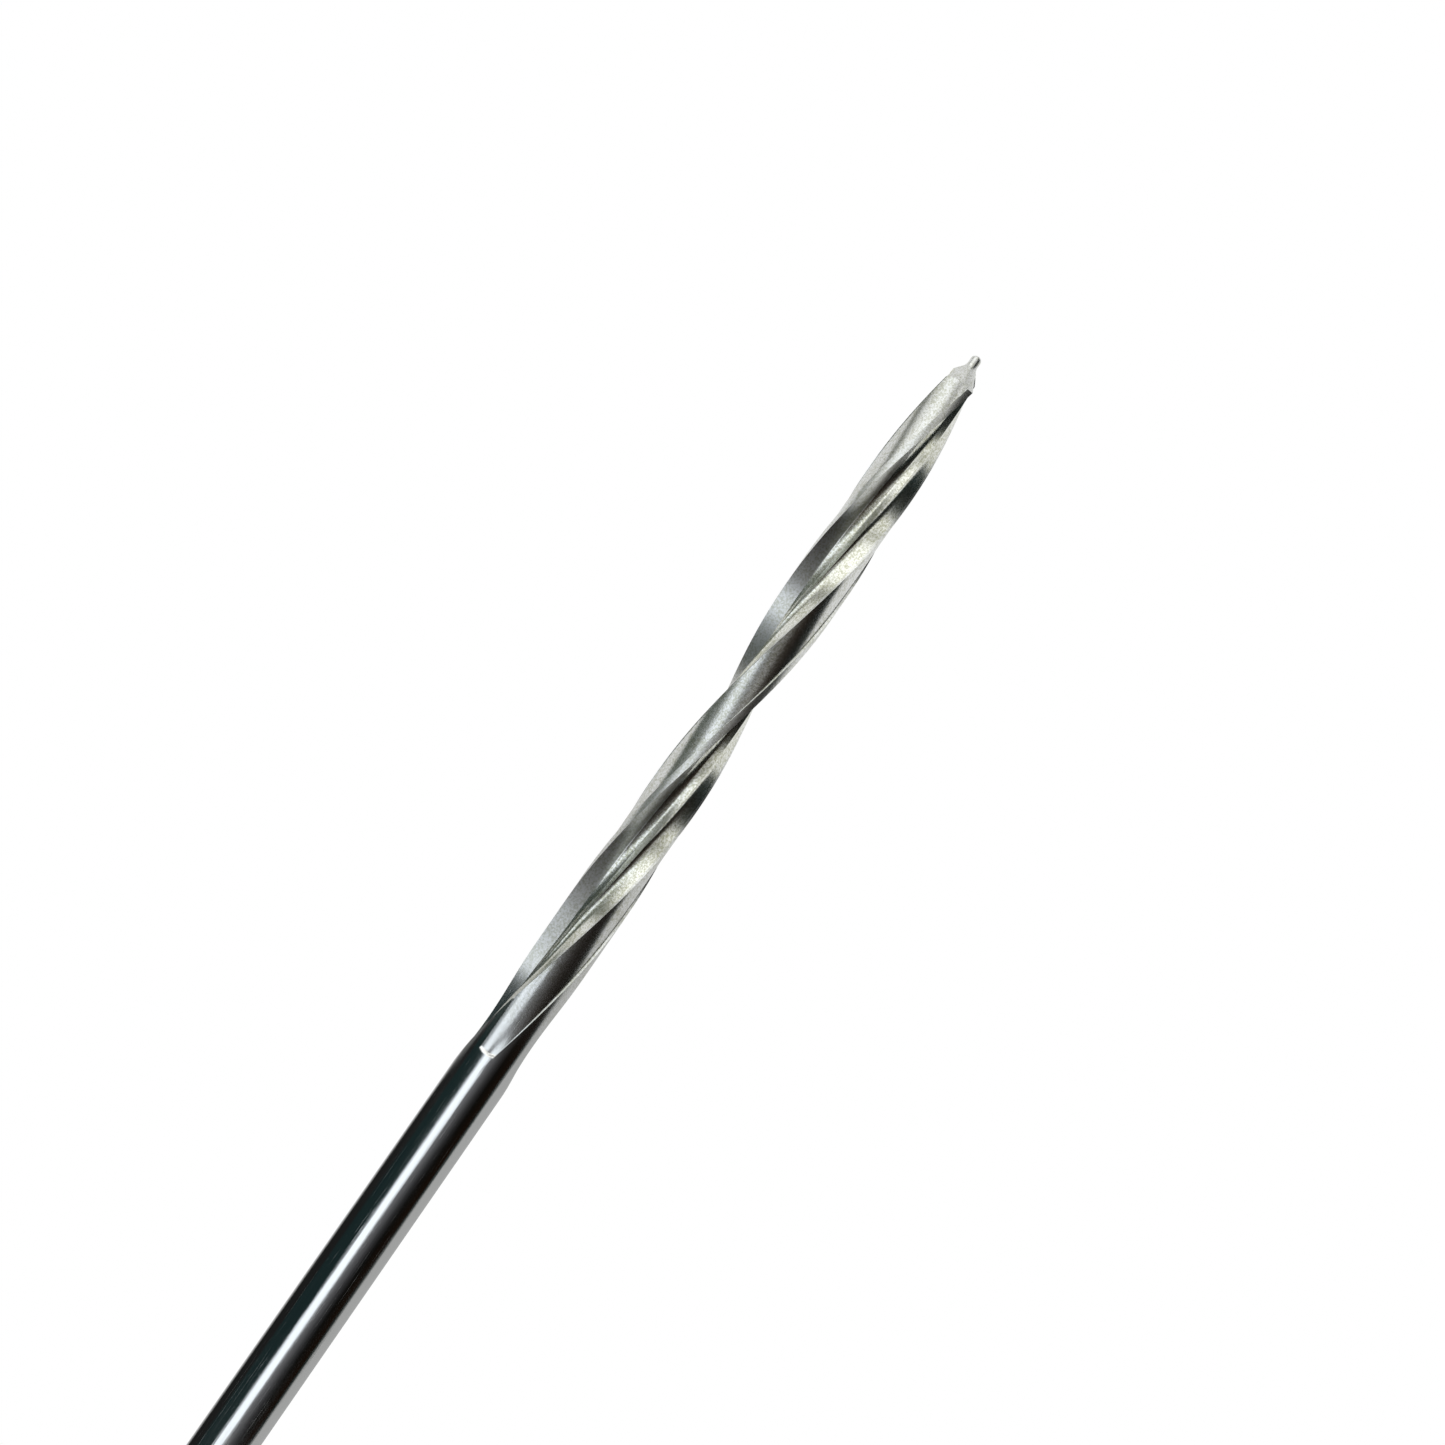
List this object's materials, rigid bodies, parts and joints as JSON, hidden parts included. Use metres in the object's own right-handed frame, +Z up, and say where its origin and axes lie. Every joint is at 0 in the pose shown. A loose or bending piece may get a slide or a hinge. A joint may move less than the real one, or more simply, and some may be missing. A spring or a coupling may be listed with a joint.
{
  "type": "ice screw",
  "caption": "Long solid ice screw: polished round shank with helical flutes and a conical point, bent hanger with a carabiner eye, and a fold-out crank knob.",
  "frame": {"origin": "on the screw's axis at the hanger's ice-side face, where the shank leaves the hanger", "axes": "+X along the screw toward the point, +Z up the crank arm, -Z toward the carabiner eye, +Y across"},
  "size_m": [0.2599, 0.03, 0.0906],
  "materials": {
    "polished_steel": "mirror polished",
    "hanger_steel": "tumbled satin",
    "zinc_steel": "bright zinc",
    "dark_steel": "phosphated",
    "yoke_alloy": "clear anodised",
    "bearing_bronze": "turned",
    "slide_plastic": "natural acetal",
    "grip_plastic": "moulded, fine texture",
    "band_plastic": "moulded"
  },
  "bodies": {
    "screw": {"screw_shank": "polished_steel", "hanger": "hanger_steel", "plain_washer": "zinc_steel", "spring_washer": "dark_steel", "head_nut": "zinc_steel", "nut_roll_pin": "dark_steel", "fold_pin": "zinc_steel", "fold_pin_clip": "dark_steel", "fold_washer_left": "slide_plastic", "fold_washer_right": "slide_plastic"},
    "crank": {"fold_yoke": "yoke_alloy", "detent_balls": "polished_steel", "detent_spring": "dark_steel", "knob_stem": "polished_steel", "knob_end_washer": "zinc_steel", "knob_end_screw": "dark_steel"},
    "knob": {"knob_grip": "grip_plastic", "knob_bush_inner": "bearing_bronze", "knob_bush_outer": "bearing_bronze", "knob_colour_band": "band_plastic"}
  },
  "joints": [
    {"name": "crank_fold", "type": "hinge", "parent": "screw", "child": "crank", "pos_m": [-0.01, 0, 0.042], "axis": [0, 1, 0], "range_deg": [0, 90]},
    {"name": "knob_spin", "type": "hinge", "parent": "crank", "child": "knob", "pos_m": [-0.01, 0, 0.03], "axis": [0, 0, -1], "continuous": true}
  ]
}
